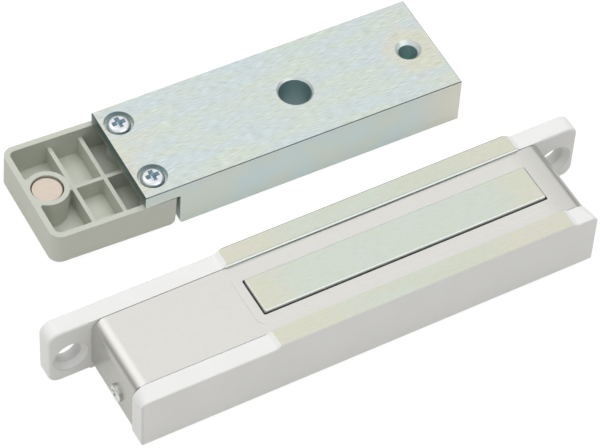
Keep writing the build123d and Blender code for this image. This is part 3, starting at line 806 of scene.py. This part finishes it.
# %% Magnet disc
magnet_low, magnet_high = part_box("sensor_magnet")
magnet_middle_mm = ((magnet_low + magnet_high) / 2 / MM).to_tuple()
magnet_radius_mm = (magnet_high.y - magnet_low.y) / 2 / MM
face_radius_mm = magnet_radius_mm - 0.45
rim_radius_mm = magnet_radius_mm - 0.25
nickel_pink = (0.72, 0.625, 0.535)
rim_shade = (0.30, 0.22, 0.17)
scuff_shade, nickel_grain_shade = 0.12, 0.05
scuff_mm = 0.006


def nickel_disc():
    disc = Finish("magnet_nickel", metallic=0.7, roughness=0.42)
    scuff = disc.noise(0.5, (1, 2.5, 1), detail=4.0)
    fine = disc.noise(3.0, detail=2.0)
    tone = 1 + scuff.centred() * scuff_shade + fine.centred() * nickel_grain_shade
    # painted shade round the disc's rim
    face = disc.near(magnet_middle_mm, face_radius_mm, rim_radius_mm)
    disc.set(Base_Color=disc.shade(disc.mix(face, rim_shade, nickel_pink), tone))
    disc.bump(scuff, scuff_mm)
    return disc.material


print("magnet disc:", round(magnet_radius_mm * 2, 2), "mm across")

# %% [markdown]
# ## What is inside
# None of this shows once the cover is on, but a lock opened on the bench shows all of it. The winding
# is one solid, and its turns are drawn as waves up its side, with painted shade in the grooves between
# them. The tape has its overlap, the board its tracks under green lacquer.

# %% Winding, tape and board
wire_pitch_mm = 0.45
wire_relief_mm = 0.1
copper_colour = (0.62, 0.25, 0.10)
groove_shade, wire_shade, copper_cloud = 0.55, 0.45, 0.2
tape_dark, tape_light = (0.66, 0.42, 0.06), (0.80, 0.58, 0.14)
tape_relief_mm = 0.04
lacquer_dark, lacquer_light = (0.02, 0.17, 0.06), (0.05, 0.27, 0.10)
tracks_per_mm = 0.55
track_half_share = 0.16
track_relief_mm = 0.035


def copper_winding():
    copper = Finish("enamelled_copper", metallic=0.9, roughness=0.3)
    wave = (copper.z * (math.tau / wire_pitch_mm)).calculate("SINE") * 0.5 + 0.5
    tone = copper.noise(0.3, (1, 1, 4), detail=2.0)
    # painted shade in the grooves between the turns, and a random tone
    groove_shade_and_tone = groove_shade + wave * wire_shade + tone.centred() * copper_cloud
    copper.set(Base_Color=copper.shade(copper_colour, groove_shade_and_tone))
    copper.bump(wave, wire_relief_mm)
    return copper.material


def wound_tape():
    tape = Finish("coil_tape", roughness=0.3)
    wrinkle = tape.noise(0.3, (0.4, 0.4, 3), detail=3.0)
    tape.set(Base_Color=tape.mix(wrinkle, tape_dark, tape_light))
    tape.bump(wrinkle, tape_relief_mm)
    return tape.material


def lacquered_board():
    board = Finish("board_laminate", roughness=0.35)
    across = (board.x * tracks_per_mm).calculate("FRACT").centred().size()
    broken = board.noise(0.18, (1, 0.4, 1), detail=0.0) > 0.5
    track = (across < track_half_share) * broken
    board.set(Base_Color=board.mix(track, lacquer_dark, lacquer_light))
    board.bump(track, track_relief_mm)
    return board.material


# %% [markdown]
# ## Dress the solids
# Every solid gets its material in its own slot. One table says which finish goes on which piece, so
# that no piece is left with the colour it came with.

# %% Dress every solid
bright_screw = turned_screw("screw_steel", (0.80, 0.82, 0.84), 0.22, (0.40, 0.50, 0.56))
dull_screw = turned_screw("cover_screw_steel", (0.60, 0.60, 0.57), 0.35, (0.55, 0.55, 0.52))
holder_plastic = moulded("grey_plastic", (0.60, 0.62, 0.545), per_mm=1.2, drift=0.04)
rubber = moulded("black_rubber", (0.03, 0.03, 0.032), 0.6, texture_mm=0.01, per_mm=1.0)
resin = moulded("potting_resin", (0.025, 0.026, 0.028), 0.3, texture_mm=0.03, per_mm=0.15)
blue_dip = moulded("suppressor_coating", (0.02, 0.07, 0.36), 0.3, texture_mm=0.02, per_mm=0.6)
finishes = {
    "housing": coated_casting(),
    "center_pole": plated_pole(),
    "cover": satin_cover(),
    "cover_screw_left": dull_screw,
    "cover_screw_right": dull_screw,
    "core_screws": bright_screw,
    "cable_grommet": rubber,
    "coil_bobbin": moulded("bobbin_plastic", (0.03, 0.03, 0.03), 0.45),
    "coil_winding": copper_winding(),
    "coil_tape": wound_tape(),
    "potting_resin": resin,
    "coil_leads": moulded("lead_insulation", (0.45, 0.03, 0.025), 0.45),
    "circuit_board": lacquered_board(),
    "board_screws": bright_screw,
    "terminal_block": moulded("terminal_plastic", (0.03, 0.26, 0.10), 0.4),
    "terminal_screws": bright_screw,
    "relay": moulded("relay_case", (0.02, 0.02, 0.024), 0.25, texture_mm=0.004),
    "surge_suppressor": blue_dip,
    "capacitor": moulded("capacitor_sleeve", (0.03, 0.03, 0.06), 0.25, texture_mm=0.004),
    "field_sensor": moulded("sensor_case", (0.025, 0.025, 0.025), 0.4),
    "armature_bar": ground_bar(),
    "magnet_holder": holder_plastic,
    "sensor_magnet": nickel_disc(),
    "holder_screw_near": bright_screw,
    "holder_screw_far": bright_screw,
}
for name, material in finishes.items():
    for index in range(len(solids[name].data.materials)):
        solids[name].data.materials[index] = material
    print(name, len(solids[name].data.materials), len(solids[name].data.polygons))
print("bare solids:", sorted(set(solids) - set(finishes)))
